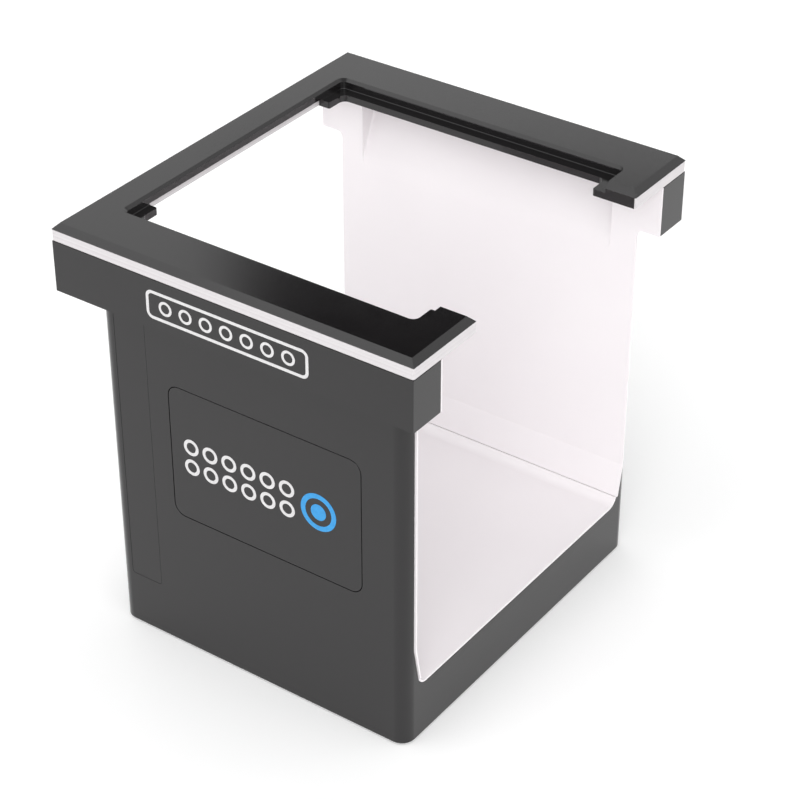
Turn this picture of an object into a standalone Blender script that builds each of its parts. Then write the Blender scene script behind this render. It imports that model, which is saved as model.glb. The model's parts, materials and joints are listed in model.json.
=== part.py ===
"""Table-top station for a laboratory cryobox: an open tunnel housing under a stepped, three-sided top frame.

Units are metres, +Z is up, and the origin is the centre of the footprint on the table.
X runs along the face that carries the badge plate, and the frame's open end is at +X.
"""
import math

import bmesh
import bpy
from mathutils import Matrix, Vector

MM = 0.001

# Driving dimensions of the housing
FOOT_PROUD = 1.0 * MM
TOP_X = 84.0 * MM
TOP_Y = 93.8 * MM
BODY_HEIGHT = 189.8 * MM
BODY_X = 73.0 * MM
BODY_Y = 82.7 * MM
BODY_CORNER_R = 6.0 * MM
GAP = 0.3 * MM
SEAM = 0.2 * MM

# Levels, from the table up
SHELL_Z0 = FOOT_PROUD
TOP_Z = SHELL_Z0 + BODY_HEIGHT
CHAMFER = 2.5 * MM
PLATE_T = 4.8 * MM
PLATE_Z1 = TOP_Z - CHAMFER
PLATE_Z0 = PLATE_Z1 - PLATE_T
SKIRT_Z0 = SHELL_Z0 + 160.3 * MM
FLOOR_Z = SHELL_Z0 + 26.0 * MM
LEDGE_Z = TOP_Z - 4.4 * MM

# The frame's recess, seat ledge and open end
RECESS_X0 = -68.2 * MM
RECESS_X1 = 70.2 * MM
RECESS_Y = 69.7 * MM
LEDGE_X = 64.3 * MM
LEDGE_Y = 65.0 * MM
MOUTH_Y = 55.2 * MM
COLLAR_T = 1.5 * MM
HOOK_LIP_X = 83.2 * MM
RECESS_R = 2.4 * MM
LEDGE_R = 3.0 * MM
TAB_R = 0.8 * MM
BRIDGE_Z = TOP_Z - 3.8 * MM
PLATE_CORNER_R = 1.0 * MM

# The tunnel and its liners
LINER_Y = 76.2 * MM
LINER_T = 0.8 * MM
LINER_X = 73.7 * MM
LINER_CORNER_R = 3.8 * MM
BEND_Z = FLOOR_Z + 18.9 * MM
SLANT = 0.192
FLOOR_FILLET = 4.6 * MM
FLOOR_SEAM_Z = FLOOR_Z + 3.7 * MM
FLARE_X0 = -62.8 * MM
FLARE_X1 = 61.7 * MM
FLARE_STEPS = [(148.0 * MM, 0.0), (152.5 * MM, 0.9 * MM), (157.0 * MM, 2.5 * MM), (161.3 * MM, 4.3 * MM),
               (170.0 * MM, 8.2 * MM), (178.0 * MM, 11.4 * MM), (184.5 * MM, 12.4 * MM)]

# Front face details
BADGE_X = (-40.0 * MM, 52.4 * MM)
BADGE_Z = (67.7 * MM, 129.0 * MM)
BADGE_R = 5.0 * MM
COVER_X = (-65.7 * MM, -50.7 * MM)
COVER_Z0 = 26.2 * MM
BADGE_T = 1.5 * MM
COVER_T = 0.8 * MM
COVER_SUNK = 0.2 * MM
INSET_R = 1.2 * MM

# Base, boards and sockets
WALL = 2.4 * MM
SILL_X = 70.0 * MM
CAVITY_Y = 76.5 * MM
BASE_Z = (2.4 * MM, 4.4 * MM)
BOSS_AT = (66.5 * MM, 73.0 * MM)
FOOT_AT = (58.0 * MM, 64.0 * MM)
BOARD_Z = (8.6 * MM, 10.2 * MM)
BOARD_X = 52.0 * MM
BOARD_Y = (-30.0 * MM, 75.5 * MM)
STANDOFF_X = 46.0 * MM
STANDOFF_R = 3.0 * MM
STANDOFFS = [(x, y) for y in (-24.0 * MM, 66.0 * MM) for x in (-STANDOFF_X, STANDOFF_X)]
ANTENNA_X = (-50.0 * MM, 58.0 * MM)
ANTENNA_Z = (50.0 * MM, 136.0 * MM)
POCKET_X = 62.0 * MM
POCKET_Y = 80.4 * MM
POCKET_Z = (12.0 * MM, 140.0 * MM)
WINDOW_Z = (34.0 * MM, 138.0 * MM)
FOOT_R = 7.0 * MM
FOOT_EDGE = 0.5 * MM
ANTENNA_Y = (78.0 * MM, 79.2 * MM)
LEAD_R = 1.0 * MM
LEAD_BEND = 5.0 * MM
LEAD_X = -57.5 * MM
LEAD_Y = 78.9 * MM
LEAD_Z = 58.0 * MM
SHIELD = ((-34.0 * MM, 2.0 * MM), (-18.0 * MM, 14.0 * MM))
SHIELD_H = 5.0 * MM
SOCKET_LIP = 0.6 * MM
SOCKET_DEPTH = 6.0 * MM
POWER_BORE_R = 3.2 * MM

# Fasteners: a head is its radius and its height
CAP_SCREW_AT = (77.4 * MM, 86.4 * MM)
PLATE_SCREW_AT = (68.0 * MM, 80.05 * MM)
SCREW_R = 1.45 * MM
PAN_HEAD = (2.6 * MM, 1.6 * MM)
LOW_HEAD = (2.6 * MM, 1.1 * MM)
CAP_HEAD = (2.8 * MM, 1.8 * MM)
HEAD_ROOM_R = 3.1 * MM
CAP_BOSS_R = 3.0 * MM
POST_R = 4.4 * MM
POST_SINK = 3.5 * MM
BASE_BOSS_R = 4.0 * MM
BASE_SCREW_TIP = 14.0 * MM
BASE_HOLE_TOP = 17.0 * MM
PLATE_SCREW_TIP = 171.0 * MM
WALL_HOLE_Z = 169.0 * MM
HEAD_FLOOR = 2.2 * MM
TURN_STEPS = 16
FAR = 20.0 * MM

for leftover in list(bpy.data.objects):
    bpy.data.objects.remove(leftover, do_unlink=True)


def new_collection(name):
    """A collection linked to the scene."""
    collection = bpy.data.collections.new(name)
    bpy.context.scene.collection.children.link(collection)
    return collection


PARTS = new_collection("cryobox_station")
CUTTERS = new_collection("cutters")


def plastic(name, colour, roughness, metallic=0.0):
    """A Principled material."""
    material = bpy.data.materials.new(name)
    material.use_nodes = True
    shader = material.node_tree.nodes["Principled BSDF"]
    shader.inputs["Base Color"].default_value = (*colour, 1.0)
    shader.inputs["Roughness"].default_value = roughness
    shader.inputs["Metallic"].default_value = metallic
    return material


DARK = plastic("dark_plastic", (0.075, 0.072, 0.074), 0.5)
WHITE = plastic("white_plastic", (0.82, 0.80, 0.81), 0.45)
RUBBER = plastic("foot_rubber", (0.03, 0.03, 0.03), 0.85)
STEEL = plastic("screw_steel", (0.6, 0.6, 0.62), 0.3, 1.0)
BOARD = plastic("circuit_board", (0.02, 0.12, 0.05), 0.5)
TIN = plastic("tinned_steel", (0.7, 0.7, 0.72), 0.25, 1.0)
CABLE = plastic("cable_jacket", (0.02, 0.02, 0.02), 0.5)


def mesh_object(name, bm, material=None):
    """Put a bmesh in a new object; without a material the object is a cutter."""
    mesh = bpy.data.meshes.new(name)
    bm.to_mesh(mesh)
    bm.free()
    obj = bpy.data.objects.new(name, mesh)
    if material:
        mesh.materials.append(material)
        PARTS.objects.link(obj)
    else:
        CUTTERS.objects.link(obj)
        obj.hide_render = True
        obj.display_type = "WIRE"
    return obj


def block(name, x, y, z, material=None, top_inset=0.0):
    """A box between the given limits; top_inset draws its top face in on every side."""
    bm = bmesh.new()
    bmesh.ops.create_cube(bm, size=1.0)
    size = Vector((x[1] - x[0], y[1] - y[0], z[1] - z[0]))
    centre = Vector((x[0] + x[1], y[0] + y[1], z[0] + z[1])) / 2
    for vert in bm.verts:
        inset = top_inset if vert.co.z > 0 else 0.0
        for axis in (0, 1):
            vert.co[axis] *= size[axis] - 2 * inset
        vert.co.z *= size.z
        vert.co += centre
    return mesh_object(name, bm, material)


def rod(name, centre, radius, z, material=None, along="Z"):
    """A round bar; along Z from z[0] to z[1]."""
    bm = bmesh.new()
    length = z[1] - z[0]
    bmesh.ops.create_cone(bm, cap_ends=True, segments=TURN_STEPS, radius1=radius, radius2=radius,
                          depth=length)
    middle = (z[0] + z[1]) / 2
    if along == "Y":
        bmesh.ops.rotate(bm, verts=bm.verts, matrix=Matrix.Rotation(math.pi / 2, 3, "X"))
        bmesh.ops.translate(bm, verts=bm.verts, vec=(centre[0], middle, centre[1]))
    else:
        bmesh.ops.translate(bm, verts=bm.verts, vec=(centre[0], centre[1], middle))
    return mesh_object(name, bm, material)


def rounded(corners, steps=5):
    """Turn (u, v, radius) corners into outline points, with an arc at each corner that has a radius."""
    points = []
    for index, (u, v, radius) in enumerate(corners):
        here = Vector((u, v))
        if radius == 0:
            points.append(here)
            continue
        before = (Vector(corners[index - 1][:2]) - here).normalized()
        after = (Vector(corners[(index + 1) % len(corners)][:2]) - here).normalized()
        half = before.angle(after) / 2
        centre = here + (before + after).normalized() * radius / math.sin(half)
        start = here + before * radius / math.tan(half) - centre
        sweep = start.angle_signed(here + after * radius / math.tan(half) - centre)
        for step in range(steps + 1):
            turn = Matrix.Rotation(-sweep * step / steps, 2)
            points.append(centre + turn @ start)
    return points


PLANES = {
    "X": Matrix(((0, 0, 1), (1, 0, 0), (0, 1, 0))),
    "Y": Matrix(((1, 0, 0), (0, 0, -1), (0, 1, 0))),
    "Z": Matrix.Identity(3),
}


def prism(name, outline, along, low, high, material=None):
    """A closed outline, extruded from low to high along one axis."""
    curve = bpy.data.curves.new(name, "CURVE")
    curve.dimensions = "2D"
    curve.fill_mode = "BOTH"
    curve.extrude = (high - low) / 2
    spline = curve.splines.new("POLY")
    spline.points.add(len(outline) - 1)
    for point, (u, v) in zip(spline.points, outline):
        point.co = (u, v, 0.0, 1.0)
    spline.use_cyclic_u = True
    shift = Vector((0, 0, 0))
    shift["XYZ".index(along)] = (low + high) / 2
    return solid_from_curve(curve, Matrix.Translation(shift) @ PLANES[along].to_4x4(), material)


def solid_from_curve(curve, place, material):
    """Make the mesh of a curve, with its caps welded on, in world coordinates."""
    drawn = bpy.data.objects.new(curve.name, curve)
    bpy.context.scene.collection.objects.link(drawn)
    evaluated = drawn.evaluated_get(bpy.context.evaluated_depsgraph_get())
    mesh = bpy.data.meshes.new_from_object(evaluated)
    name = curve.name
    bpy.data.objects.remove(drawn, do_unlink=True)
    bpy.data.curves.remove(curve)
    bm = bmesh.new()
    bm.from_mesh(mesh)
    bpy.data.meshes.remove(mesh)
    bmesh.ops.remove_doubles(bm, verts=bm.verts, dist=1e-6)
    bmesh.ops.transform(bm, verts=bm.verts, matrix=place)
    bmesh.ops.recalc_face_normals(bm, faces=bm.faces)
    return mesh_object(name, bm, material)


def combine(obj, others, operation="DIFFERENCE"):
    """Cut the others from obj, or join them to it."""
    for other in others:
        modifier = obj.modifiers.new(other.name, "BOOLEAN")
        modifier.operation = operation
        modifier.solver = "EXACT"
        modifier.object = other
    return obj


def turned(name, centre, profile, material):
    """A turned piece: its (radius, z) profile runs down the outer side from the axis to the axis."""
    bm = bmesh.new()
    verts = [bm.verts.new((radius, 0.0, z)) for radius, z in profile]
    for first, second in zip(verts, verts[1:]):
        bm.edges.new((first, second))
    obj = mesh_object(name, bm, material)
    obj.location = (centre[0], centre[1], 0.0)
    spin = obj.modifiers.new("spin", "SCREW")
    spin.steps = TURN_STEPS
    spin.render_steps = TURN_STEPS
    spin.use_merge_vertices = True
    spin.merge_threshold = 1e-5
    return obj


def screw_down(name, centre, seat_z, tip_z, head_r, head_h):
    """A screw whose head stands on seat_z and whose shank runs down to tip_z, with a driver socket."""
    top = seat_z + head_h
    profile = [(0, top - head_h / 2), (head_r / 2, top - head_h / 2), (head_r / 2, top), (head_r, top),
               (head_r, seat_z), (SCREW_R, seat_z), (SCREW_R, tip_z), (0, tip_z)]
    return turned(name, centre, profile, STEEL)


def screw_up(name, centre, seat_z, tip_z, head_r, head_h):
    """A screw driven from below: head under seat_z, shank up to tip_z."""
    low = seat_z - head_h
    profile = [(0, tip_z), (SCREW_R, tip_z), (SCREW_R, seat_z), (head_r, seat_z),
               (head_r, low), (head_r / 2, low), (head_r / 2, low + head_h / 2), (0, low + head_h / 2)]
    return turned(name, centre, profile, STEEL)


def corners_of(at):
    """The four mirror images of a corner position."""
    return [(x * at[0], y * at[1]) for y in (-1, 1) for x in (-1, 1)]


def rectangle(x, y, radius):
    """The corners of a rectangle, for rounded()."""
    return [(x[0], y[0], radius), (x[1], y[0], radius), (x[1], y[1], radius), (x[0], y[1], radius)]


def tunnel_corners(offset, top, bottom=None):
    """The tunnel's section, grown by offset: upright walls, a slant near the floor, and a floor fillet."""
    wall_y = LINER_Y + offset
    slant_shift = offset * math.hypot(1, SLANT)
    bend_z = BEND_Z - (slant_shift - offset) / SLANT
    floor_z = FLOOR_Z - offset if bottom is None else bottom
    floor_y = wall_y - SLANT * (bend_z - floor_z)
    radius = FLOOR_FILLET + offset if bottom is None else 0.0
    right = [(floor_y, floor_z, radius), (wall_y, bend_z, 0.0), (wall_y, top, 0.0)]
    left = [(-y, z, r) for y, z, r in reversed(right)]
    return right + left


def make_outer_shell():
    """The dark trough: two walls on a hollow floor box, pocketed inside for the boards."""
    shell_top = PLATE_Z0 - SEAM
    outline = rounded(rectangle((-BODY_X, BODY_X), (-BODY_Y, BODY_Y), BODY_CORNER_R), 6)
    shell = prism("outer_shell", outline, "Z", SHELL_Z0, shell_top, DARK)
    tunnel = rounded(tunnel_corners(LINER_T + SEAM, shell_top + FAR))
    cuts = [prism("tunnel_cut", tunnel, "X", -TOP_X, TOP_X)]
    cuts.append(block("floor_cavity", (-SILL_X, SILL_X), (-CAVITY_Y, CAVITY_Y), (-FAR, FLOOR_Z)))
    for side, tag in ((-1, "front"), (1, "back")):
        reach = sorted((side * (CAVITY_Y - WALL), side * POCKET_Y))
        cuts.append(block("wall_pocket_" + tag, (-POCKET_X, POCKET_X), reach, POCKET_Z))
        room = flare_wedge("flare_room_" + tag, side, LINER_T + SEAM, side * (LINER_Y - WALL))
        notch_y = sorted((side * LINER_Y, side * (BODY_Y + FAR)))
        notch_x = (FLARE_X0 - LINER_T - SEAM, FLARE_X1 + LINER_T + SEAM)
        notch = block("flare_notch_" + tag, notch_x, notch_y, (SKIRT_Z0 + LINER_T, shell_top + FAR))
        cuts += [room, notch]
    cuts.append(inset_cut("badge_pocket", BADGE_X, BADGE_Z, BADGE_R, BADGE_T + GAP))
    cover_z = (COVER_Z0, SKIRT_Z0 + FAR / 4)
    cuts.append(inset_cut("cover_pocket", COVER_X, cover_z, INSET_R, COVER_T + GAP + COVER_SUNK))
    slot_x = (-POCKET_X + 1.0 * MM, COVER_X[1] - 3.0 * MM)
    cuts.append(block("cable_window", slot_x, (-BODY_Y - FAR, -LINER_Y), WINDOW_Z))
    for name, (x, y, z) in SOCKETS.items():
        hole_x = (x[0] - GAP, x[1] + GAP)
        hole_z = (z[0] - GAP, z[1] + GAP)
        cuts.append(block(name + "_cut", hole_x, (CAVITY_Y - WALL, BODY_Y + FAR), hole_z))
    combine(shell, cuts)
    bosses = []
    for index, at in enumerate(corners_of(BOSS_AT), 1):
        bosses.append(rod("base_boss_%d" % index, at, BASE_BOSS_R, (BASE_Z[1] + GAP, FLOOR_Z - 1.4 * MM)))
    combine(shell, bosses, "UNION")
    holes = []
    for index, at in enumerate(corners_of(BOSS_AT), 1):
        holes.append(rod("base_hole_%d" % index, at, SCREW_R + GAP, (-FAR, BASE_HOLE_TOP)))
    for index, at in enumerate(corners_of(PLATE_SCREW_AT), 1):
        holes.append(rod("wall_hole_%d" % index, at, SCREW_R + GAP, (WALL_HOLE_Z, shell_top + FAR)))
    combine(shell, holes)


def inset_cut(name, x, z, radius, depth):
    """A shallow rounded pocket in the front face."""
    outline = rounded(rectangle((x[0] - GAP, x[1] + GAP), (z[0] - GAP, z[1] + GAP), radius + GAP))
    return prism(name, outline, "Y", -BODY_Y - FAR, -BODY_Y + depth)


def flare_wedge(name, side, offset, inner_y, material=None):
    """The scoop at the top of a tunnel wall, grown by offset, back to inner_y."""
    drop = 0.4 * offset
    outer = [(side * (LINER_Y + depth + offset), z - drop) for z, depth in FLARE_STEPS]
    outline = [(inner_y, outer[0][1])] + outer + [(inner_y, outer[-1][1])]
    return prism(name, outline, "X", FLARE_X0 - offset, FLARE_X1 + offset, material)


def make_liner(side, tag):
    """One white wall liner: a thin sheet, wider above the body, with the scoop at its top."""
    top = PLATE_Z0 - SEAM
    inner = tunnel_corners(0.0, top, FLOOR_SEAM_Z)[:3]
    outer = tunnel_corners(LINER_T, top, FLOOR_SEAM_Z)[:3]
    section = [(side * y, z) for y, z, _ in inner + outer[::-1]]
    liner = prism("liner_" + tag, section, "X", -TOP_X, TOP_X, WHITE)
    pan = flare_wedge("flare_outside_" + tag, side, LINER_T, side * (LINER_Y + LINER_T / 2))
    combine(liner, [pan], "UNION")
    y_range = sorted((side * (LINER_Y - WALL - 6.0 * MM), side * (BODY_Y + FAR)))
    cuts = [flare_wedge("flare_inside_" + tag, side, 0.0, side * (LINER_Y - WALL))]
    for end in (-1, 1):
        corner = [(end * LINER_X, -FAR, 0.0), (end * LINER_X, SKIRT_Z0, LINER_CORNER_R),
                  (end * (TOP_X + FAR), SKIRT_Z0, 0.0), (end * (TOP_X + FAR), -FAR, 0.0)]
        cuts.append(prism("liner_side_%s_%d" % (tag, end), rounded(corner), "Y", *y_range))
    trim = (top, top + FAR)
    cuts.append(block("liner_top_" + tag, (-TOP_X, TOP_X), sorted((0, side * (BODY_Y + FAR))), trim))
    combine(liner, cuts)


def make_floor_tray():
    """The white tunnel floor, turned up into the wall slants at both sides."""
    inner = rounded(tunnel_corners(0.0, FLOOR_SEAM_Z + FAR))
    outer = rounded(tunnel_corners(LINER_T, FLOOR_SEAM_Z + FAR))
    tray = prism("floor_tray", outer, "X", -BODY_X, BODY_X, WHITE)
    hollow = prism("tray_inside", inner, "X", -TOP_X, TOP_X)
    rim = (FLOOR_SEAM_Z - SEAM, FLOOR_SEAM_Z + 3 * FAR)
    combine(tray, [hollow, block("tray_rim", (-TOP_X, TOP_X), (-TOP_Y, TOP_Y), rim)])


def make_cap_frame():
    """The dark top frame: chamfered outside, stepped seat inside, open towards +X."""
    slab = block("cap_frame", (-TOP_X, TOP_X), (-TOP_Y, TOP_Y), (PLATE_Z1, TOP_Z), DARK, CHAMFER)
    overlap = PLATE_Z1 + CHAMFER / 2
    collar_x = (RECESS_X0 - COLLAR_T, RECESS_X1 + COLLAR_T)
    collar_y = (-RECESS_Y - COLLAR_T, RECESS_Y + COLLAR_T)
    joins = [block("collar", collar_x, collar_y, (PLATE_Z0, overlap))]
    for side in (-1, 1):
        lip_y = sorted((side * (MOUTH_Y - COLLAR_T), side * (MOUTH_Y + COLLAR_T)))
        lip_x = (RECESS_X1, HOOK_LIP_X)
        joins.append(block("hook_lip_%d" % side, lip_x, lip_y, (PLATE_Z0, overlap)))
    for index, at in enumerate(corners_of(CAP_SCREW_AT), 1):
        joins.append(rod("cap_boss_%d" % index, at, CAP_BOSS_R, (PLATE_Z0 + GAP, overlap)))
    combine(slab, joins, "UNION")
    recess = rounded(rectangle((RECESS_X0, RECESS_X1), (-RECESS_Y, RECESS_Y), RECESS_R))
    cuts = [prism("recess", recess, "Z", LEDGE_Z, TOP_Z + FAR)]
    half = [(LEDGE_X, MOUTH_Y, TAB_R), (LEDGE_X, LEDGE_Y, LEDGE_R),
            (-LEDGE_X, LEDGE_Y, LEDGE_R), (-LEDGE_X, MOUTH_Y, TAB_R), (RECESS_X0, MOUTH_Y, 0.0)]
    mirrored = [(x, -y, radius) for x, y, radius in reversed(half)]
    mouth = TOP_X + FAR
    through = rounded([(mouth, MOUTH_Y, 0.0)] + half + mirrored + [(mouth, -MOUTH_Y, 0.0)])
    cuts.append(prism("seat_opening", through, "Z", PLATE_Z0 - FAR, TOP_Z + FAR))
    relief_x = (RECESS_X0 - COLLAR_T - GAP, -LEDGE_X)
    cuts.append(block("bridge_relief", relief_x, (-MOUTH_Y, MOUTH_Y), (PLATE_Z0 - FAR, BRIDGE_Z)))
    mouth_y = (-MOUTH_Y - 2 * CHAMFER, MOUTH_Y + 2 * CHAMFER)
    slope = block("mouth_slope", (RECESS_X1 - CHAMFER, mouth), mouth_y, (PLATE_Z1, PLATE_Z1 + 2 * CHAMFER))
    for vert in slope.data.vertices:
        if vert.co.z < PLATE_Z1 + CHAMFER:
            vert.co.y = math.copysign(MOUTH_Y, vert.co.y)
    cuts.append(slope)
    for index, at in enumerate(corners_of(CAP_SCREW_AT), 1):
        cuts.append(rod("cap_hole_%d" % index, at, SCREW_R + GAP, (PLATE_Z0 - FAR, PLATE_Z1 + 1.0 * MM)))
    combine(slab, cuts)


def make_flange_plate():
    """The white plate under the top frame, flush with it all round."""
    outline = rounded(rectangle((-TOP_X, TOP_X), (-TOP_Y, TOP_Y), PLATE_CORNER_R), 3)
    plate = prism("flange_plate", outline, "Z", PLATE_Z0, PLATE_Z1 - SEAM, WHITE)
    z = (PLATE_Z0 - FAR, PLATE_Z1 + FAR)
    grown = COLLAR_T + GAP
    inner_x = (RECESS_X0 - grown, RECESS_X1 + grown)
    cuts = [block("collar_cut", inner_x, (-RECESS_Y - grown, RECESS_Y + grown), z)]
    cuts.append(block("mouth_cut", (0, TOP_X + FAR), (-MOUTH_Y - grown, MOUTH_Y + grown), z))
    for index, at in enumerate(corners_of(CAP_SCREW_AT), 1):
        cuts.append(rod("boss_hole_%d" % index, at, CAP_BOSS_R + GAP, z))
    for index, at in enumerate(corners_of(PLATE_SCREW_AT), 1):
        cuts.append(rod("head_hole_%d" % index, at, HEAD_ROOM_R, (PLATE_Z0 + HEAD_FLOOR, z[1])))
        cuts.append(rod("shank_hole_%d" % index, at, SCREW_R + GAP, z))
    combine(plate, cuts)


def make_skirt(side, tag):
    """A dark channel under the plate's edge, closed at both ends, open inwards to the scoop."""
    top = PLATE_Z0 - SEAM
    inner = side * (LINER_Y + LINER_T + SEAM)
    y_range = sorted((inner, side * TOP_Y))
    skirt = block("skirt_" + tag, (-TOP_X, TOP_X), y_range, (SKIRT_Z0, top), DARK)
    room_y = sorted((inner - side * FAR, side * (TOP_Y - WALL)))
    room = block("skirt_room_" + tag, (-TOP_X + WALL, TOP_X - WALL), room_y, (SKIRT_Z0 + WALL, top + FAR))
    body = rectangle((-BODY_X - GAP, BODY_X + GAP), (-BODY_Y - GAP, BODY_Y + GAP), BODY_CORNER_R + GAP)
    passage = prism("skirt_passage_" + tag, rounded(body), "Z", SKIRT_Z0 - FAR, top + FAR)
    combine(skirt, [room, passage])
    posts = []
    bores = []
    for end in (-1, 1):
        at = (end * CAP_SCREW_AT[0], side * CAP_SCREW_AT[1])
        label = "%s_%d" % (tag, end)
        posts.append(rod("post_" + label, at, POST_R, (SKIRT_Z0, top)))
        bores.append(rod("post_bore_" + label, at, SCREW_R + GAP, (SKIRT_Z0 - FAR, top + FAR)))
        bores.append(rod("post_sink_" + label, at, HEAD_ROOM_R, (SKIRT_Z0 - FAR, SKIRT_Z0 + POST_SINK)))
    combine(skirt, posts, "UNION")
    combine(skirt, bores)


def make_front_insets():
    """The badge plate and the narrow cover over the cable window, set into the front face."""
    badge = rounded(rectangle(BADGE_X, BADGE_Z, BADGE_R))
    prism("badge_plate", badge, "Y", -BODY_Y, -BODY_Y + BADGE_T, DARK)
    cover = rounded(rectangle(COVER_X, (COVER_Z0, SKIRT_Z0 - SEAM), INSET_R))
    face = -BODY_Y + COVER_SUNK
    prism("service_cover", cover, "Y", face, face + COVER_T, DARK)


def make_base():
    """The base plate in the shell's underside, with its screws and rubber feet."""
    x = (-SILL_X + GAP, SILL_X - GAP)
    y = (-CAVITY_Y + GAP, CAVITY_Y - GAP)
    plate = prism("base_plate", rounded(rectangle(x, y, 1.0 * MM), 2), "Z", *BASE_Z, DARK)
    holes = []
    for index, at in enumerate(corners_of(BOSS_AT), 1):
        holes.append(rod("plate_hole_%d" % index, at, SCREW_R + GAP, (-FAR, FAR)))
        screw_up("base_screw_%d" % index, at, BASE_Z[0] - SEAM, BASE_SCREW_TIP, *LOW_HEAD)
    combine(plate, holes)
    for index, at in enumerate(corners_of(FOOT_AT), 1):
        top = BASE_Z[0] - SEAM
        profile = [(0, top), (FOOT_R, top), (FOOT_R, FOOT_EDGE), (FOOT_R - FOOT_EDGE, 0), (0, 0)]
        turned("foot_%d" % index, at, profile, RUBBER)


SOCKETS = {
    "data_socket": ((20.0 * MM, 29.0 * MM), (68.0 * MM, BODY_Y - 0.5 * MM), (10.5 * MM, 13.9 * MM)),
    "power_socket": ((-31.0 * MM, -22.0 * MM), (67.0 * MM, BODY_Y - 0.5 * MM), (10.5 * MM, 21.5 * MM)),
}


def make_reader():
    """The reader board on its standoffs, its screened radio section and its two sockets."""
    board = block("reader_board", (-BOARD_X, BOARD_X), BOARD_Y, BOARD_Z, BOARD)
    holes = []
    for index, at in enumerate(STANDOFFS, 1):
        holes.append(rod("board_hole_%d" % index, at, SCREW_R + GAP, (0, FAR)))
        seat = BOARD_Z[0] - SEAM
        foot = BASE_Z[1] + SEAM
        sleeve = rod("standoff_%d" % index, at, STANDOFF_R, (foot, seat), STEEL)
        combine(sleeve, [rod("standoff_bore_%d" % index, at, SCREW_R + GAP, (0, FAR))])
        screw_down("board_screw_%d" % index, at, BOARD_Z[1] + SEAM, foot + SEAM, *PAN_HEAD)
    combine(board, holes)
    above = BOARD_Z[1] + GAP
    shield = block("rf_shield", *SHIELD, (above, above + SHIELD_H), TIN)
    edge = shield.modifiers.new("folded_edge", "BEVEL")
    edge.width = SHIELD_H / 8
    edge.segments = 2
    x, y, z = SOCKETS["data_socket"]
    data = block("data_socket", x, y, z, TIN)
    mouth = [(low + SOCKET_LIP, high - SOCKET_LIP) for low, high in (x, z)]
    combine(data, [block("data_mouth", mouth[0], (y[1] - SOCKET_DEPTH, y[1] + FAR), mouth[1])])
    x, y, z = SOCKETS["power_socket"]
    power = block("power_socket", x, y, z, CABLE)
    centre = (sum(x) / 2, sum(z) / 2)
    combine(power, [rod("power_mouth", centre, POWER_BORE_R, (y[1] - SOCKET_DEPTH, y[1] + FAR), along="Y")])


def make_antenna(side, tag):
    """One wall antenna board and the lead that runs down its wall pocket to the reader board."""
    block("antenna_" + tag, ANTENNA_X, sorted(side * y for y in ANTENNA_Y), ANTENNA_Z, BOARD)
    wall = side * LEAD_Y
    board_y = BOARD_Y[0] - 1.5 * LEAD_R if side < 0 else sum(BOARD_Y)
    end_x = LEAD_BEND - STANDOFF_X if side < 0 else -BOARD_X - LEAD_R / 2
    middle_z = sum(BOARD_Z) / 2
    drop_z = middle_z + 1.3 * LEAD_BEND
    route = [(ANTENNA_X[0] - GAP, wall, LEAD_Z, 0.0), (LEAD_X, wall, LEAD_Z, LEAD_BEND),
             (LEAD_X, wall, drop_z, LEAD_BEND), (LEAD_X, board_y, drop_z, LEAD_BEND),
             (LEAD_X, board_y, middle_z, LEAD_BEND / 2), (end_x, board_y, middle_z, 0.0)]
    lead("lead_" + tag, route, LEAD_R)


def lead(name, route, radius):
    """A cable along a route whose corners (x, y, z, bend radius) are rounded off."""
    points = []
    for index, (x, y, z, bend) in enumerate(route):
        here = Vector((x, y, z))
        if bend == 0:
            points.append(here)
            continue
        before = (Vector(route[index - 1][:3]) - here).normalized() * bend
        after = (Vector(route[index + 1][:3]) - here).normalized() * bend
        for step in range(5):
            part = step / 4
            points.append(here + before * (1 - part) ** 2 + after * part ** 2)
    curve = bpy.data.curves.new(name, "CURVE")
    curve.dimensions = "3D"
    curve.bevel_depth = radius
    curve.bevel_resolution = 1
    curve.use_fill_caps = True
    spline = curve.splines.new("POLY")
    spline.points.add(len(points) - 1)
    for point, place in zip(spline.points, points):
        point.co = (*place, 1.0)
    solid_from_curve(curve, Matrix.Identity(4), CABLE)


def make_fasteners():
    """Long screws up through the skirts into the top frame, and short ones down into the walls."""
    for index, at in enumerate(corners_of(CAP_SCREW_AT), 1):
        screw_up("cap_screw_%d" % index, at, SKIRT_Z0 + POST_SINK - SEAM, PLATE_Z1 + SEAM, *CAP_HEAD)
    for index, at in enumerate(corners_of(PLATE_SCREW_AT), 1):
        screw_down("plate_screw_%d" % index, at, PLATE_Z0 + HEAD_FLOOR + SEAM, PLATE_SCREW_TIP, *CAP_HEAD)


make_outer_shell()
make_floor_tray()
make_cap_frame()
make_flange_plate()
for side_sign, side_name in ((-1, "front"), (1, "back")):
    make_liner(side_sign, side_name)
    make_skirt(side_sign, side_name)
    make_antenna(side_sign, side_name)
make_front_insets()
make_base()
make_reader()
make_fasteners()
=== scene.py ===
"""The cryobox station's finished look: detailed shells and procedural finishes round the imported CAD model."""
import json
import math

import bmesh
import bpy
from mathutils import Matrix, Vector


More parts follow.
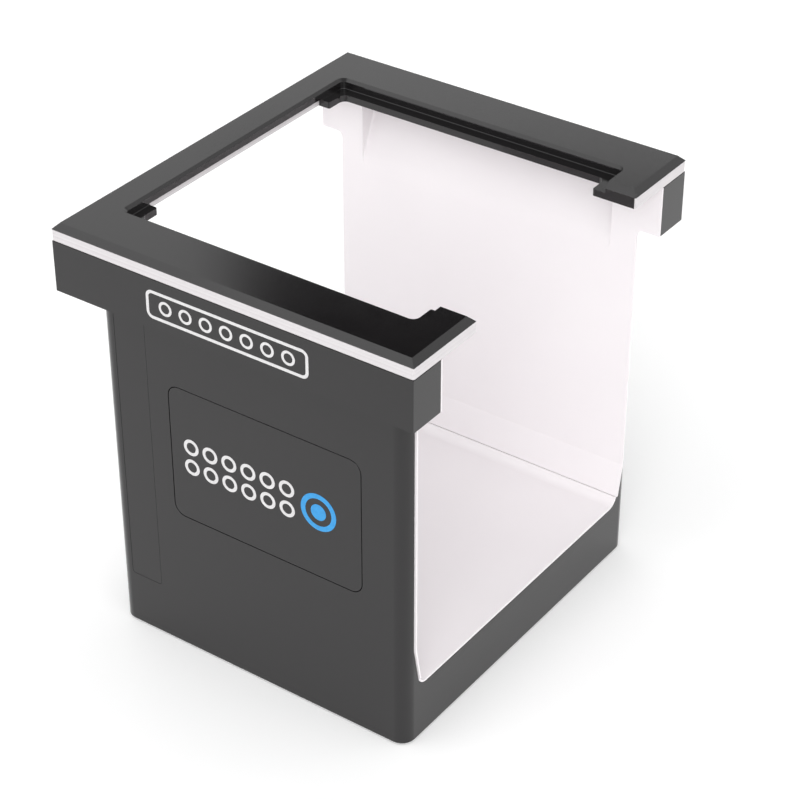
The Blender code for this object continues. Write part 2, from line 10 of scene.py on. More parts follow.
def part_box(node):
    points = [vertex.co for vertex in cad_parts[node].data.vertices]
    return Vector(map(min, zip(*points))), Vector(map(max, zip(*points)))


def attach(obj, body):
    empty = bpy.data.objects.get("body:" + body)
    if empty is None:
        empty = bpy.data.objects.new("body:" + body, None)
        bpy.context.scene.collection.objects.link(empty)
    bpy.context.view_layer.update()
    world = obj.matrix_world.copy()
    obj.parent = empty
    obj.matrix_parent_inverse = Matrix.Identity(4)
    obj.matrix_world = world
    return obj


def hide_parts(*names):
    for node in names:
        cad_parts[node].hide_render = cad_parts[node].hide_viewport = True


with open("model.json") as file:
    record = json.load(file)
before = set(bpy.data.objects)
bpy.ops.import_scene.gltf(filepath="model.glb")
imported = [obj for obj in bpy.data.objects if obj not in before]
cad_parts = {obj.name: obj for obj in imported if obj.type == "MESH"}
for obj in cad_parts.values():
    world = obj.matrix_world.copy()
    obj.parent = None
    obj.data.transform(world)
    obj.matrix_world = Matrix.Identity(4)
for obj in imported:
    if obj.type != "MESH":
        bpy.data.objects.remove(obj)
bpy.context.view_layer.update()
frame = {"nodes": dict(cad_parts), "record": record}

MM = 0.001
BODY = "root"
scene = bpy.context.scene

# Places read from the CAD model
CAP_LOW, CAP_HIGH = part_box("cap_frame")
PLATE_LOW, PLATE_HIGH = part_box("flange_plate")
SKIRT_LOW, SKIRT_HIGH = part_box("skirt_front")
SHELL_LOW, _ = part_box("outer_shell")
LINER_LOW, LINER_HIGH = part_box("liner_front")
TRAY_LOW, TRAY_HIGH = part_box("floor_tray")
BADGE_LOW, BADGE_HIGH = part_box("badge_plate")
COVER_LOW, COVER_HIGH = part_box("service_cover")

# The top frame's section, in the CAD model's own measures
CHAMFER = 2.5 * MM
SEAM = 0.05 * MM
SLAB_Z = CAP_HIGH.z - CHAMFER
LEDGE_Z = CAP_HIGH.z - 4.4 * MM
RECESS_X = (-68.2 * MM, 70.2 * MM)
RECESS_Y = 69.7 * MM
LEDGE_X = 64.3 * MM
LEDGE_Y = 65.0 * MM
MOUTH_Y = 55.2 * MM
COLLAR_T = 1.5 * MM
HOOK_LIP_X = 83.2 * MM
RECESS_R = 2.4 * MM
LEDGE_R = 3.0 * MM
TAB_R = 0.8 * MM
PLATE_CORNER_R = 1.0 * MM
BRIDGE_Z = CAP_HIGH.z - 3.8 * MM

# Small chamfers and rounds that only the finished look has
RECESS_CHAMFER = 1.2 * MM
RECESS_FILLET = 0.35 * MM
FILLET_STEPS = 4
LEDGE_ROUND = 1.4 * MM
HOUSING_EDGE = 0.35 * MM
DARK_EDGE = 0.3 * MM
TRIM_EDGE = 0.25 * MM
LINER_EDGE = 0.15 * MM
TRAY_EDGE = 0.12 * MM

# The tunnel's section; its corner radius and floor seam are the finished look's own
LINER_Y = 76.2 * MM
LINER_T = 0.8 * MM
LINER_X = 73.7 * MM
LINER_CORNER_R = 2.7 * MM
FLOOR_Z = TRAY_LOW.z + LINER_T
BEND_Z = FLOOR_Z + 18.9 * MM
SLANT = 0.192
FLOOR_FILLET = 4.6 * MM
FLOOR_SEAM_Z = FLOOR_Z + 3.7 * MM
FLOOR_SEAM = 0.35 * MM

# The scoop at a wall's top: its width, heights, lean outwards, and the radii where it starts and bends.
# SCOOP_DROP lowers the bends of the outside against the inside, to keep the sheet's thickness about even.
SCOOP_X = (-62.8 * MM, 61.7 * MM)
SCOOP_LOW_Z = 140.0 * MM
SCOOP_START_Z = 151.7 * MM
SCOOP_BEND_Z = 177.5 * MM
SCOOP_BEND_OUT = 11.6 * MM
SCOOP_TOP_OUT = 12.4 * MM
SCOOP_START_R = 20.0 * MM
SCOOP_BEND_R = 10.0 * MM
SCOOP_DROP = 0.4
SCOOP_CREASE = 1.2 * MM
SCOOP_OVERRUN = 1.2 * MM
SCOOP_OVERLAP = 2.0 * MM

# The service cover's visible joint
COVER_GROWN = 0.2 * MM
COVER_SUNK = 0.06 * MM
COVER_R = 1.4 * MM

# Reach of the cutting shapes past the piece, and limits for merging points and finding edges, in radians
FAR = 20.0 * MM
MERGE_DISTANCE = 1e-6
FLAT_ANGLE = math.radians(0.5)
EDGE_ANGLE = math.radians(28.0)
SHEET_EDGE_ANGLE = math.radians(9.0)
LEDGE_EDGE_ANGLE = 1.0
CREASE_ANGLE = math.radians(60)


# ---------------------------------------------------------------- mesh tools

def new_object(name, mesh):
    """An object for a mesh, in the scene."""
    obj = bpy.data.objects.new(name, mesh)
    scene.collection.objects.link(obj)
    return obj


def from_bmesh(name, bm):
    """An object made from a bmesh, which is freed."""
    mesh = bpy.data.meshes.new(name)
    bm.to_mesh(mesh)
    bm.free()
    return new_object(name, mesh)


def block(name, x, y, z, top_inset=0.0):
    """A box between the given limits; top_inset draws its top face in on every side."""
    bm = bmesh.new()
    bmesh.ops.create_cube(bm, size=1.0)
    size = Vector((x[1] - x[0], y[1] - y[0], z[1] - z[0]))
    centre = Vector((x[0] + x[1], y[0] + y[1], z[0] + z[1])) / 2
    for vert in bm.verts:
        inset = top_inset if vert.co.z > 0 else 0.0
        vert.co.x *= size.x - 2 * inset
        vert.co.y *= size.y - 2 * inset
        vert.co.z *= size.z
        vert.co += centre
    return from_bmesh(name, bm)


def rounded(corners, steps=10):
    """Turn (u, v, radius) corners into outline points, with an arc at each corner that has a radius."""
    points = []
    for index, (u, v, radius) in enumerate(corners):
        here = Vector((u, v))
        if radius == 0:
            points.append(here)
            continue
        before = (Vector(corners[index - 1][:2]) - here).normalized()
        after = (Vector(corners[(index + 1) % len(corners)][:2]) - here).normalized()
        half = before.angle(after) / 2
        centre = here + (before + after).normalized() * radius / math.sin(half)
        start = here + before * radius / math.tan(half) - centre
        sweep = start.angle_signed(here + after * radius / math.tan(half) - centre)
        for step in range(steps + 1):
            points.append(centre + Matrix.Rotation(-sweep * step / steps, 2) @ start)
    return points


def rectangle(x, y, radius):
    """The corners of a rectangle, for rounded()."""
    return [(x[0], y[0], radius), (x[1], y[0], radius), (x[1], y[1], radius), (x[0], y[1], radius)]


# How an outline's u and v and its depth turn into x, y and z, for each axis it is extruded along
PLANES = {
    "X": Matrix(((0, 0, 1), (1, 0, 0), (0, 1, 0))),
    "Y": Matrix(((1, 0, 0), (0, 0, -1), (0, 1, 0))),
    "Z": Matrix.Identity(3),
}


def prism(name, outline, along, low, high):
    """A closed outline, extruded from low to high along one axis."""
    bm = bmesh.new()
    verts = [bm.verts.new((u, v, 0.0)) for u, v in outline]
    face = bm.faces.new(verts)
    moved = bmesh.ops.extrude_face_region(bm, geom=[face])["geom"]
    top = [item for item in moved if isinstance(item, bmesh.types.BMVert)]
    bmesh.ops.translate(bm, verts=top, vec=(0, 0, high - low))
    shift = Vector((0, 0, 0))
    shift["XYZ".index(along)] = low if along != "Y" else high
    place = Matrix.Translation(shift) @ PLANES[along].to_4x4()
    bmesh.ops.transform(bm, verts=bm.verts, matrix=place)
    bmesh.ops.recalc_face_normals(bm, faces=bm.faces)
    return from_bmesh(name, bm)


def loft(name, rows):
    """A solid through level outlines with the same number of points; rows are (outline, z)."""
    bm = bmesh.new()
    rings = [[bm.verts.new((u, v, z)) for u, v in outline] for outline, z in rows]
    bm.faces.new(rings[0])
    bm.faces.new(rings[-1])
    for low, high in zip(rings, rings[1:]):
        for index, vert in enumerate(low):
            after = (index + 1) % len(low)
            bm.faces.new((vert, low[after], high[after], high[index]))
    bmesh.ops.recalc_face_normals(bm, faces=bm.faces)
    return from_bmesh(name, bm)


def settle(obj):
    """Keep the evaluated mesh of an object and drop its modifiers."""
    evaluated = obj.evaluated_get(bpy.context.evaluated_depsgraph_get())
    mesh = bpy.data.meshes.new_from_object(evaluated)
    old = obj.data
    obj.modifiers.clear()
    obj.data = mesh
    bpy.data.meshes.remove(old)
    mesh.name = obj.name
    return obj


def combine(obj, others, operation="DIFFERENCE"):
    """Cut the others from obj, or join them to it, and remove them."""
    for other in others:
        modifier = obj.modifiers.new(other.name, "BOOLEAN")
        modifier.operation = operation
        modifier.solver = "EXACT"
        modifier.object = other
    settle(obj)
    for other in others:
        bpy.data.objects.remove(other, do_unlink=True)
    return obj


def merged(obj):
    """A bmesh of an object's mesh, with double points merged and each flat area made one face."""
    bm = bmesh.new()
    bm.from_mesh(obj.data)
    bmesh.ops.remove_doubles(bm, verts=bm.verts, dist=MERGE_DISTANCE)
    bmesh.ops.dissolve_limit(bm, angle_limit=FLAT_ANGLE, verts=bm.verts, edges=bm.edges)
    return bm


def soften(obj, width, segments=3, limit=EDGE_ANGLE):
    """Round the edges sharper than limit, and shade the rest smooth with the flat faces kept flat."""
    bm = merged(obj)
    bmesh.ops.recalc_face_normals(bm, faces=bm.faces)
    bm.to_mesh(obj.data)
    bm.free()
    bevel = obj.modifiers.new("edge_round", "BEVEL")
    bevel.width = width
    bevel.segments = segments
    bevel.limit_method = "ANGLE"
    bevel.angle_limit = limit
    bevel.miter_outer = "MITER_ARC"
    settle(obj)
    obj.data.shade_smooth()
    obj.data.set_sharp_from_angle(angle=limit)
    weigh = obj.modifiers.new("flat_faces", "WEIGHTED_NORMAL")
    weigh.mode = "FACE_AREA"
    weigh.weight = 100
    weigh.keep_sharp = True
    return settle(obj)


def cad_copy(node, name):
    """A free copy of a CAD node's shape, to be detailed and shown in its place."""
    return new_object(name, frame["nodes"][node].data.copy())


def show(obj, material, slot_name, *nodes):
    """Give a finished piece its material, and put it in the place of its CAD nodes; the slot name is not used.
    """
    obj.data.materials.clear()
    obj.data.materials.append(material)
    for polygon in obj.data.polygons:
        polygon.material_index = 0
    if nodes:
        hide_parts(*nodes)
    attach(obj, BODY)
    return obj


# ---------------------------------------------------------------- materials

class Nodes:
    """Short calls for building one material's node tree."""

    def __init__(self, name):
        self.material = bpy.data.materials.new(name)
        self.material.use_nodes = True
        self.tree = self.material.node_tree
        self.shader = self.tree.nodes["Principled BSDF"]
        self.coords = self.tree.nodes.new("ShaderNodeTexCoord").outputs["Object"]

    def link(self, output, target):
        self.tree.links.new(output, target)

    def noise(self, scale, detail=3.0, roughness=0.55, stretch=None):
        """A noise value in 0..1; scale is in features per metre."""
        node = self.tree.nodes.new("ShaderNodeTexNoise")
        node.inputs["Scale"].default_value = scale
        node.inputs["Detail"].default_value = detail
        node.inputs["Roughness"].default_value = roughness
        source = self.coords
        if stretch:
            mapping = self.tree.nodes.new("ShaderNodeMapping")
            mapping.inputs["Scale"].default_value = stretch
            self.link(self.coords, mapping.inputs["Vector"])
            source = mapping.outputs["Vector"]
        self.link(source, node.inputs["Vector"])
        return node.outputs["Fac"]

    def ramp(self, value, low, high, at=(0.3, 0.7)):
        """Spread a value between two numbers."""
        node = self.tree.nodes.new("ShaderNodeMapRange")
        node.inputs["From Min"].default_value = at[0]
        node.inputs["From Max"].default_value = at[1]
        node.inputs["To Min"].default_value = low
        node.inputs["To Max"].default_value = high
        self.link(value, node.inputs["Value"])
        return node.outputs["Result"]

    def blend(self, value, first, second, at=(0.3, 0.7)):
        """Spread a value between two colours."""
        node = self.tree.nodes.new("ShaderNodeMix")
        node.data_type = "RGBA"
        node.inputs["A"].default_value = (*first, 1.0)
        node.inputs["B"].default_value = (*second, 1.0)
        self.link(self.ramp(value, 0.0, 1.0, at), node.inputs["Factor"])
        return node.outputs["Result"]

    def bump(self, height, distance, strength=1.0, under=None):
        """A bump whose full height is distance metres."""
        node = self.tree.nodes.new("ShaderNodeBump")
        node.inputs["Distance"].default_value = distance
        node.inputs["Strength"].default_value = strength
        self.link(height, node.inputs["Height"])
        if under:
            self.link(under, node.inputs["Normal"])
        return node.outputs["Normal"]

    def set(self, **values):
        """Set shader sockets: a number or colour directly, an output by a link."""
        for key, value in values.items():
            target = self.shader.inputs[key.replace("_", " ")]
            if isinstance(value, bpy.types.NodeSocket):
                self.link(value, target)
            else:
                target.default_value = value
        return self.material


def dark_plastic():
    """Charcoal moulded plastic with a fine spark-eroded grain."""
    n = Nodes("dark_moulded_plastic")
    grain = n.noise(scale=2300.0, detail=2.0, roughness=0.6)
    cloud = n.noise(scale=40.0)
    colour = n.blend(grain, (0.0070, 0.0063, 0.0068), (0.0122, 0.0112, 0.0118))
    return n.set(Base_Color=colour, Roughness=n.ramp(cloud, 0.065, 0.09), IOR=1.51,
                 Normal=n.bump(grain, distance=0.000012))


def white_plate():
    """White plate whose edge shows faint layer lines."""
    n = Nodes("white_layered_plastic")
    layers = n.noise(scale=400.0, detail=1.0, roughness=0.5, stretch=(0.004, 0.004, 6.0))
    grain = n.noise(scale=1500.0, detail=2.0)
    colour = n.blend(layers, (0.55, 0.525, 0.535), (0.67, 0.645, 0.655))
    return n.set(Base_Color=colour, Roughness=n.ramp(grain, 0.42, 0.55), IOR=1.46,
                 Normal=n.bump(layers, distance=0.00005, strength=0.6))


def white_sheet():
    """Smooth white formed sheet, very slightly uneven."""
    n = Nodes("white_formed_sheet")
    wave = n.noise(scale=14.0, detail=2.0)
    grain = n.noise(scale=1800.0, detail=2.0)
    colour = n.blend(wave, (0.825, 0.79, 0.807), (0.85, 0.817, 0.832))
    ripple = n.bump(wave, distance=0.00025, strength=0.4)
    return n.set(Base_Color=colour, Roughness=n.ramp(grain, 0.40, 0.50), IOR=1.46,
                 Normal=n.bump(grain, distance=0.000006, under=ripple))


def ink(name, light, deep):
    """Screen-printed ink with slightly uneven cover."""
    n = Nodes(name)
    cover = n.noise(scale=900.0)
    colour = n.blend(cover, deep, light)
    return n.set(Base_Color=colour, Roughness=n.ramp(cover, 0.38, 0.5), IOR=1.48)


def rubber():
    """Matt black rubber."""
    n = Nodes("foot_rubber")
    grain = n.noise(scale=1200.0, detail=4.0)
    return n.set(Base_Color=n.blend(grain, (0.012, 0.012, 0.012), (0.03, 0.03, 0.03)),
                 Roughness=n.ramp(grain, 0.75, 0.95), Normal=n.bump(grain, distance=0.00004))


def metal(name, colour, rough):
    """Plated metal with fine turning marks."""
    n = Nodes(name)
    marks = n.noise(scale=600.0, detail=2.0, roughness=0.5, stretch=(1.0, 1.0, 12.0))
    darker = tuple(0.8 * part for part in colour)
    return n.set(Base_Color=n.blend(marks, darker, colour), Metallic=1.0,
                 Roughness=n.ramp(marks, rough, rough + 0.15), Normal=n.bump(marks, distance=0.00001))


def circuit_board():
    """Green solder resist over glass weave."""
    n = Nodes("circuit_board")
    weave = n.noise(scale=700.0, detail=1.0, roughness=0.5)
    patches = n.noise(scale=60.0, detail=2.0)
    return n.set(Base_Color=n.blend(patches, (0.008, 0.07, 0.025), (0.02, 0.13, 0.05)),
                 Roughness=n.ramp(weave, 0.25, 0.45), Normal=n.bump(weave, distance=0.00003))


DARK = dark_plastic()
WHITE_PLATE = white_plate()
WHITE_SHEET = white_sheet()
PRINT_WHITE = ink("print_white", (0.68, 0.67, 0.675), (0.61, 0.60, 0.605))
PRINT_BLUE = ink("print_blue", (0.026, 0.31, 0.68), (0.021, 0.26, 0.60))
RUBBER = rubber()
STEEL = metal("zinc_plated_steel", (0.62, 0.63, 0.66), 0.22)
TIN = metal("tinned_sheet", (0.72, 0.72, 0.74), 0.18)
BOARD = circuit_board()


# ---------------------------------------------------------------- shells

def recess_outline(grown):
    """The recess's outline, grown by some amount except towards the hooks."""
    x = (RECESS_X[0] - grown, RECESS_X[1] + min(grown, 0.0))
    return rounded(rectangle(x, (-RECESS_Y - grown, RECESS_Y + grown), RECESS_R + grown))


def recess_cutter():
    """The recess: a small fillet along its foot, upright sides and a chamfer at its top."""
    rows = []
    for fillet_step in range(FILLET_STEPS + 1):
        turn = math.radians(90.0 * fillet_step / FILLET_STEPS)
        rows.append((recess_outline(RECESS_FILLET * (math.sin(turn) - 1)),
                     LEDGE_Z + RECESS_FILLET * (1 - math.cos(turn))))
    rows.append((recess_outline(0.0), CAP_HIGH.z - RECESS_CHAMFER))
    rows.append((recess_outline(2 * RECESS_CHAMFER), CAP_HIGH.z + RECESS_CHAMFER))
    return loft("recess", rows)


def seat_cutter(mouth):
    """The opening inside the seat ledge, with a tab left at each corner, and out through the mouth."""
    half = [(LEDGE_X, MOUTH_Y, TAB_R), (LEDGE_X, LEDGE_Y, LEDGE_R), (-LEDGE_X, LEDGE_Y, LEDGE_R),
            (-LEDGE_X, MOUTH_Y, TAB_R), (RECESS_X[0] - SEAM, MOUTH_Y, 0.0)]
    mirrored = [(x, -y, radius) for x, y, radius in reversed(half)]
    through = rounded([(mouth, MOUTH_Y, 0.0)] + half + mirrored + [(mouth, -MOUTH_Y, 0.0)])
    return prism("seat_opening", through, "Z", CAP_LOW.z - FAR, CAP_HIGH.z - RECESS_CHAMFER)


def mouth_cutter(mouth):
    """The slopes along both sides of the mouth."""
    slope_y = (-MOUTH_Y - 2 * CHAMFER, MOUTH_Y + 2 * CHAMFER)
    slope_z = (SLAB_Z, SLAB_Z + 2 * CHAMFER)
    slope = block("mouth_slope", (RECESS_X[1] - CHAMFER, mouth), slope_y, slope_z)
    for vert in slope.data.vertices:
        if vert.co.z < SLAB_Z + CHAMFER:
            vert.co.y = math.copysign(MOUTH_Y, vert.co.y)
    return slope


def round_ledge(obj):
    """Round the seat ledge's free edge more than the rest."""
    bm = merged(obj)
    edges = [edge for edge in bm.edges if edge.is_convex and edge.calc_face_angle(0.0) > LEDGE_EDGE_ANGLE
             and all(abs(vert.co.z - LEDGE_Z) < MERGE_DISTANCE for vert in edge.verts)]
    bmesh.ops.bevel(bm, geom=edges, offset=LEDGE_ROUND, segments=5, profile=0.5, affect="EDGES",
                    clamp_overlap=True)
    bm.to_mesh(obj.data)
    bm.free()


def make_cap_frame():
    """The top frame: chamfered slab, hanging collar, recess with a seat ledge, and chamfered hooks."""
    slab_z = (SLAB_Z, CAP_HIGH.z)
    slab = block("top_frame", (CAP_LOW.x, CAP_HIGH.x), (CAP_LOW.y, CAP_HIGH.y), slab_z, CHAMFER)
    overlap = SLAB_Z + CHAMFER / 2
    collar_x = (RECESS_X[0] - COLLAR_T, RECESS_X[1] + COLLAR_T)
    collar_y = (-RECESS_Y - COLLAR_T, RECESS_Y + COLLAR_T)
    joins = [block("collar", collar_x, collar_y, (CAP_LOW.z, overlap))]
    lip_x = (RECESS_X[1], HOOK_LIP_X)
    for side in (-1, 1):
        lip_y = sorted((side * (MOUTH_Y - COLLAR_T), side * (MOUTH_Y + COLLAR_T)))
        joins.append(block("hook_lip_%d" % side, lip_x, lip_y, (CAP_LOW.z, overlap)))
    combine(slab, joins, "UNION")
    mouth = CAP_HIGH.x + FAR
    cuts = [recess_cutter(), seat_cutter(mouth)]
    relief_x = (RECESS_X[0] - 2 * COLLAR_T, -LEDGE_X)
    cuts.append(block("bridge_relief", relief_x, (-MOUTH_Y, MOUTH_Y), (CAP_LOW.z - FAR, BRIDGE_Z)))
    cuts.append(mouth_cutter(mouth))
    combine(slab, cuts)
    round_ledge(slab)
    show(soften(slab, DARK_EDGE), DARK, "dark_shell", "cap_frame")


def make_flange_plate():
    """The white plate, flush under the top frame."""
    corners = rectangle((PLATE_LOW.x, PLATE_HIGH.x), (PLATE_LOW.y, PLATE_HIGH.y), PLATE_CORNER_R)
    plate = prism("flange_plate_trim", rounded(corners, steps=4), "Z", PLATE_LOW.z, SLAB_Z - SEAM)
    z = (PLATE_LOW.z - FAR, SLAB_Z + FAR)
    grown = COLLAR_T + SEAM
    inner_x = (RECESS_X[0] - grown, RECESS_X[1] + grown)
    cuts = [block("collar_cut", inner_x, (-RECESS_Y - grown, RECESS_Y + grown), z)]
    lip_y = (-MOUTH_Y - grown, MOUTH_Y + grown)
    cuts.append(block("lip_cut", (0, HOOK_LIP_X + SEAM), lip_y, z))
    cuts.append(block("mouth_cut", (0, CAP_HIGH.x + FAR), (-MOUTH_Y, MOUTH_Y), z))
    combine(plate, cuts)
    show(soften(plate, TRIM_EDGE), WHITE_PLATE, "white_trim", "flange_plate")


def make_refined(node, name, width):
    """A dark CAD shell with its edges rounded."""
    show(soften(cad_copy(node, name), width), DARK, "dark_shell", node)


def make_cover():
    """The narrow cover in the front face, fitted with a hairline joint."""
    x = (COVER_LOW.x - COVER_GROWN, COVER_HIGH.x + COVER_GROWN)
    outline = rounded(rectangle(x, (COVER_LOW.z - COVER_GROWN, COVER_HIGH.z), COVER_R))
    cover = prism("cover_insert", outline, "Y", SHELL_LOW.y + COVER_SUNK, COVER_HIGH.y)
    show(soften(cover, COVER_SUNK), DARK, "dark_shell", "service_cover")


def tunnel_corners(offset, top, bottom=None):
    """The tunnel's section, grown by offset: upright walls, a slant near the floor, and a floor fillet."""
    wall_y = LINER_Y + offset
    bend_z = BEND_Z - offset * (math.hypot(1, SLANT) - 1) / SLANT
    floor_z = FLOOR_Z - offset if bottom is None else bottom
    floor_y = wall_y - SLANT * (bend_z - floor_z)
    radius = FLOOR_FILLET + offset if bottom is None else 0.0
    right = [(floor_y, floor_z, radius), (wall_y, bend_z, 0.0), (wall_y, top, 0.0)]
    left = [(-y, z, r) for y, z, r in reversed(right)]
    return right + left


def scoop_wedge(name, side, offset, inner_y, edge=0.0):
    """The scoop at the top of a tunnel wall, grown by offset, back to inner_y."""
    start = LINER_Y + offset
    drop = SCOOP_DROP * offset
    top_z = LINER_HIGH.z + SCOOP_OVERRUN
    corners = [(side * inner_y, SCOOP_LOW_Z, 0.0),
               (side * start, SCOOP_LOW_Z, 0.0),
               (side * start, SCOOP_START_Z - drop, SCOOP_START_R),
               (side * (start + SCOOP_BEND_OUT), SCOOP_BEND_Z - drop, SCOOP_BEND_R),
               (side * (start + SCOOP_TOP_OUT), top_z, 0.0),
               (side * inner_y, top_z, 0.0)]
    wedge = prism(name, rounded(corners, steps=16), "X", SCOOP_X[0] - offset, SCOOP_X[1] + offset)
    if edge:
        bevel = wedge.modifiers.new("side_crease", "BEVEL")
        bevel.width = edge
        bevel.segments = 5
        bevel.limit_method = "ANGLE"
        bevel.angle_limit = CREASE_ANGLE
        settle(wedge)
    return wedge


def make_liner(side, tag):
    """One white wall liner: a thin T-shaped sheet with a soft-edged scoop at its top."""
    top = LINER_HIGH.z
    inner = tunnel_corners(0.0, top, FLOOR_SEAM_Z)[:3]
    outer = tunnel_corners(LINER_T, top, FLOOR_SEAM_Z)[:3]
    section = [(side * y, z) for y, z, _ in inner + outer[::-1]]
    liner = prism("liner_sheet_" + tag, section, "X", LINER_LOW.x, LINER_HIGH.x)
    combine(liner, [scoop_wedge("scoop_outside", side, LINER_T, LINER_Y + LINER_T / 2)], "UNION")
    y_range = sorted((side * (LINER_Y - FAR), side * (LINER_Y + FAR)))
    cuts = [scoop_wedge("scoop_inside", side, 0.0, LINER_Y - SCOOP_OVERLAP, SCOOP_CREASE)]
    for end in (-1, 1):
        reach = end * (LINER_HIGH.x + FAR)
        corner = [(end * LINER_X, -FAR, 0.0), (end * LINER_X, SKIRT_LOW.z, LINER_CORNER_R),
                  (reach, SKIRT_LOW.z, 0.0), (reach, -FAR, 0.0)]
        cuts.append(prism("liner_side_%d" % end, rounded(corner), "Y", *y_range))
    cuts.append(block("liner_top", (-FAR * 5, FAR * 5), sorted((0, side * FAR * 6)), (top, top + FAR)))
    combine(liner, cuts)
    soften(liner, LINER_EDGE, segments=2, limit=SHEET_EDGE_ANGLE)
    show(liner, WHITE_SHEET, "white_liner", "liner_" + tag)


def make_floor_tray():
    """The white tunnel floor, turned up to the liners."""
    outer = rounded(tunnel_corners(LINER_T, FLOOR_Z + 3 * FAR), steps=16)
    inner = rounded(tunnel_corners(0.0, FLOOR_Z + 4 * FAR), steps=16)
    tray = prism("floor_sheet", outer, "X", TRAY_LOW.x, TRAY_HIGH.x)
    hollow = prism("tray_inside", inner, "X", -5 * FAR, 5 * FAR)
    rim = (FLOOR_SEAM_Z - FLOOR_SEAM, FLOOR_Z + 5 * FAR)
    combine(tray, [hollow, block("tray_rim", (-5 * FAR, 5 * FAR), (-6 * FAR, 6 * FAR), rim)])
    soften(tray, TRAY_EDGE, segments=2, limit=SHEET_EDGE_ANGLE)
    show(tray, WHITE_SHEET, "white_liner", "floor_tray")


# ---------------------------------------------------------------- printed marks

PRINT_T = 0.06 * MM

# The badge's rack of wells and its blue well; each mark's two radii are outer and inner
RACK_COLUMNS = 6
RACK_ROWS = 2
RACK_PITCH = 9.4 * MM
RACK_X = -29.8 * MM
RACK_WELL = (3.7 * MM, 2.3 * MM)
BLUE_X = 32.3 * MM
BLUE_RING = (8.4 * MM, 6.2 * MM)
BLUE_DOT = (3.6 * MM, 0.05 * MM)
BLUE_STEPS = 72

# The skirt's outlined row of wells
STRIP_HALF_X = 38.0 * MM
STRIP_HALF_Z = 6.2 * MM
STRIP_R = 3.0 * MM
STRIP_LINE = 1.3 * MM
STRIP_COLUMNS = 7
STRIP_PITCH = 9.6 * MM
STRIP_WELL = (3.1 * MM, 2.0 * MM)


def add_outline(bm, outer, inner, y):
    """Add a printed band between two outlines of equal length, standing on the face at y."""
    def row(points, level):
        return [bm.verts.new((u, level, v)) for u, v in points]
    front = y - PRINT_T
    rows = [row(outer, y), row(outer, front), row(inner, front), row(inner, y)]
    count = len(outer)
    for first, second in ((0, 1), (1, 2), (2, 3), (3, 0)):
        for index in range(count):
            after = (index + 1) % count
            bm.faces.new((rows[first][index], rows[first][after], rows[second][after], rows[second][index]))


def circle(centre, radius, steps):
    """Points of a circle."""
    return [(centre[0] + radius * math.cos(2 * math.pi * step / steps),
             centre[1] + radius * math.sin(2 * math.pi * step / steps)) for step in range(steps)]


def add_ring(bm, centre, radii, y, steps=48):
    """Add a printed ring between an outer and an inner radius."""
    outer, inner = (circle(centre, radius, steps) for radius in radii)
    add_outline(bm, outer, inner, y)


def finish_print(bm, name, material):
    """Close a printed mark and show it."""
    bmesh.ops.recalc_face_normals(bm, faces=bm.faces)
    show(from_bmesh(name, bm), material, "white_trim")


def make_badge_marks():
    """A generic pictogram: a rack of round wells in white, and one large blue well beside it."""
    face = BADGE_LOW.y
    middle = (BADGE_LOW.z + BADGE_HIGH.z) / 2
    bm = bmesh.new()
    for column in range(RACK_COLUMNS):
        for row in range(RACK_ROWS):
            height = middle + (row - (RACK_ROWS - 1) / 2) * RACK_PITCH
            add_ring(bm, (RACK_X + column * RACK_PITCH, height), RACK_WELL, face)
    finish_print(bm, "badge_wells", PRINT_WHITE)
    bm = bmesh.new()
    for radii in (BLUE_RING, BLUE_DOT):
        add_ring(bm, (BLUE_X, middle), radii, face, BLUE_STEPS)
    finish_print(bm, "badge_blue_well", PRINT_BLUE)


def make_skirt_marks():
    """A generic pictogram on the front skirt: a box outline with a row of round wells."""
    face = SKIRT_LOW.y
    middle = (SKIRT_LOW.z + SKIRT_HIGH.z) / 2
    outlines = []
    for inset in (0.0, STRIP_LINE):
        x = (inset - STRIP_HALF_X, STRIP_HALF_X - inset)
        z = (middle - STRIP_HALF_Z + inset, middle + STRIP_HALF_Z - inset)
        outlines.append(rounded(rectangle(x, z, STRIP_R - inset)))
    bm = bmesh.new()
    add_outline(bm, *outlines, face)
    for column in range(STRIP_COLUMNS):
        centre = ((column - (STRIP_COLUMNS - 1) / 2) * STRIP_PITCH, middle)
        add_ring(bm, centre, STRIP_WELL, face)
    finish_print(bm, "skirt_wells", PRINT_WHITE)


# ---------------------------------------------------------------- build

make_cap_frame()
make_flange_plate()
make_floor_tray()
for side_sign, side_name in ((-1, "front"), (1, "back")):
    make_liner(side_sign, side_name)
    make_refined("skirt_" + side_name, "skirt_cover_" + side_name, DARK_EDGE)
make_refined("outer_shell", "housing", HOUSING_EDGE)
make_refined("badge_plate", "badge_insert", TRIM_EDGE)
make_cover()
make_badge_marks()
make_skirt_marks()

SLOT_MATERIALS = {
    "dark_shell": DARK, "white_trim": WHITE_PLATE, "white_liner": WHITE_SHEET, "foot_rubber": RUBBER,
    "screw_steel": STEEL, "tinned_steel": TIN, "circuit_board": BOARD, "black_plastic": RUBBER,
    "cable_jacket": RUBBER,
}
node_slots = {part["node"]: part["material_slot"] for part in frame["record"]["subparts"]}
for node_name, node in frame["nodes"].items():
    node.data.materials.clear()
    node.data.materials.append(SLOT_MATERIALS[node_slots[node_name]])


# ---------------------------------------------------------------- studio

# The camera: focal length and sensor width in millimetres, place in metres, angles in degrees
CAMERA_LENS = 106.91
CAMERA_SENSOR = 36.0
CAMERA_PLACE = (0.47854, -0.65508, 0.63328)
CAMERA_DOWN = 33.705
CAMERA_TURN = 35.50

# The floor: its side in metres, and the strength of its own light
FLOOR_SIZE = 12.0
FLOOR_GLOW = 0.16

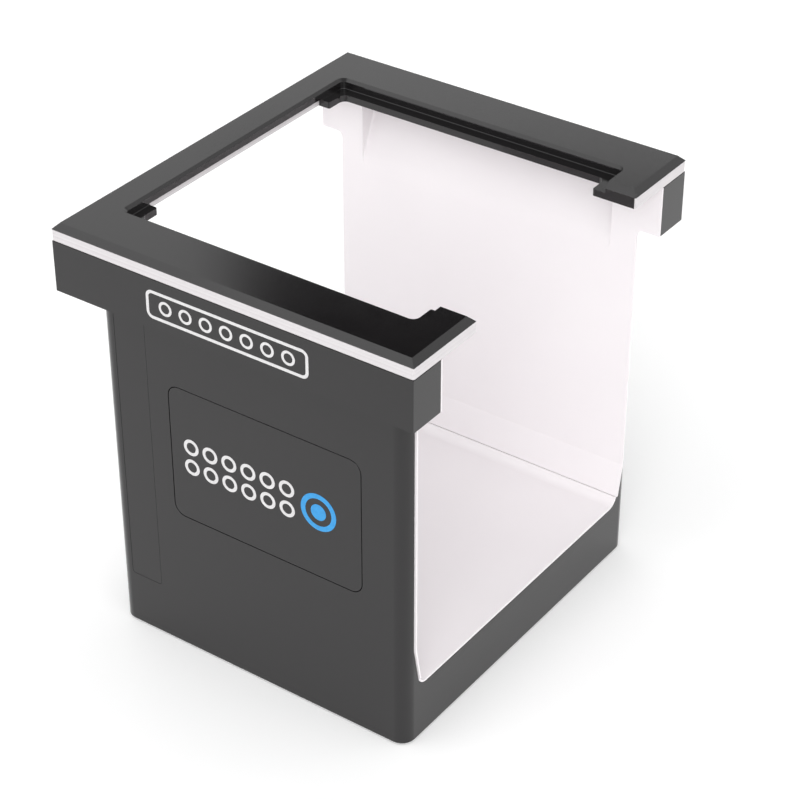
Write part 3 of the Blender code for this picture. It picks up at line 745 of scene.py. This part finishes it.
# The surround: bearings are in degrees from +Y towards +X, heights in degrees above level
SKY_BASE = 1.08
SKY_PATCHES = {
    "front_softbox": {"bearings": (136.0, 168.0), "heights": (14.0, 50.0), "soft": 10.0, "added": 2.9},
    "left_softbox": {"bearings": (-152.0, -118.0), "heights": (33.0, 54.0), "soft": 5.0, "added": 0.8},
    "right_softbox": {"bearings": (72.0, 112.0), "heights": (14.0, 48.0), "soft": 10.0, "added": 0.7},
    "back_gap": {"bearings": (-40.2, 30.0), "heights": (29.1, 52.0), "soft": 0.8, "added": -1.06},
}
ZENITH_HEIGHT = 58.0
ZENITH_SOFT = 6.0
ZENITH_ADDED = -0.55


def make_camera():
    """The camera, looking down at the open corner between the front and the right."""
    data = bpy.data.cameras.new("camera")
    data.lens = CAMERA_LENS
    data.sensor_width = CAMERA_SENSOR
    camera = bpy.data.objects.new("camera", data)
    camera.location = CAMERA_PLACE
    camera.rotation_euler = (math.radians(90 - CAMERA_DOWN), 0.0, math.radians(CAMERA_TURN))
    scene.collection.objects.link(camera)
    scene.camera = camera


def make_floor():
    """A large pale floor under the object, glowing faintly so that it stays white."""
    bpy.ops.mesh.primitive_plane_add(size=FLOOR_SIZE, location=(0, 0, 0))
    floor = bpy.context.active_object
    floor.name = "studio_floor"
    n = Nodes("studio_floor")
    mottle = n.noise(scale=3.0, detail=2.0)
    colour = n.blend(mottle, (0.93, 0.93, 0.93), (0.95, 0.95, 0.95))
    floor.data.materials.append(n.set(Base_Color=colour, Roughness=0.9, Emission_Color=(1.0, 1.0, 1.0, 1.0),
                                      Emission_Strength=FLOOR_GLOW))


def make_sky():
    """A white surround with three softboxes, a dimmer zenith, and one dark gap high at the back."""
    world = bpy.data.worlds.new("studio")
    world.use_nodes = True
    scene.world = world
    tree = world.node_tree
    back = tree.nodes["Background"]
    coords = tree.nodes.new("ShaderNodeTexCoord").outputs["Generated"]
    split = tree.nodes.new("ShaderNodeSeparateXYZ")
    tree.links.new(coords, split.inputs[0])

    def maths(operation, *values):
        node = tree.nodes.new("ShaderNodeMath")
        node.operation = operation
        for socket, value in zip(node.inputs, values):
            if isinstance(value, bpy.types.NodeSocket):
                tree.links.new(value, socket)
            else:
                socket.default_value = value
        return node.outputs[0]

    def step(value, edge, soft):
        """0 below the edge and 1 above it, easing over soft degrees to each side."""
        node = tree.nodes.new("ShaderNodeMapRange")
        node.interpolation_type = "SMOOTHSTEP"
        node.inputs["From Min"].default_value = math.radians(edge - soft)
        node.inputs["From Max"].default_value = math.radians(edge + soft)
        tree.links.new(value, node.inputs["Value"])
        return node.outputs["Result"]

    def patch(bearings, heights, soft):
        """1 inside a patch of sky between two bearings from +Y and two heights, in degrees."""
        inside = 1.0
        for value, (low, high) in ((bearing, bearings), (height, heights)):
            band = maths("SUBTRACT", step(value, low, soft), step(value, high, soft))
            inside = maths("MULTIPLY", band, inside)
        return inside

    bearing = maths("ARCTAN2", split.outputs["X"], split.outputs["Y"])
    height = maths("ARCSINE", split.outputs["Z"])
    strength = SKY_BASE
    for place in SKY_PATCHES.values():
        inside = patch(place["bearings"], place["heights"], place["soft"])
        strength = maths("ADD", strength, maths("MULTIPLY", inside, place["added"]))
    zenith = step(height, ZENITH_HEIGHT, ZENITH_SOFT)
    strength = maths("ADD", strength, maths("MULTIPLY", zenith, ZENITH_ADDED))
    tree.links.new(strength, back.inputs["Strength"])
    back.inputs["Color"].default_value = (1.0, 1.0, 1.0, 1.0)


make_camera()
make_floor()
make_sky()
scene.view_settings.view_transform = "Standard"
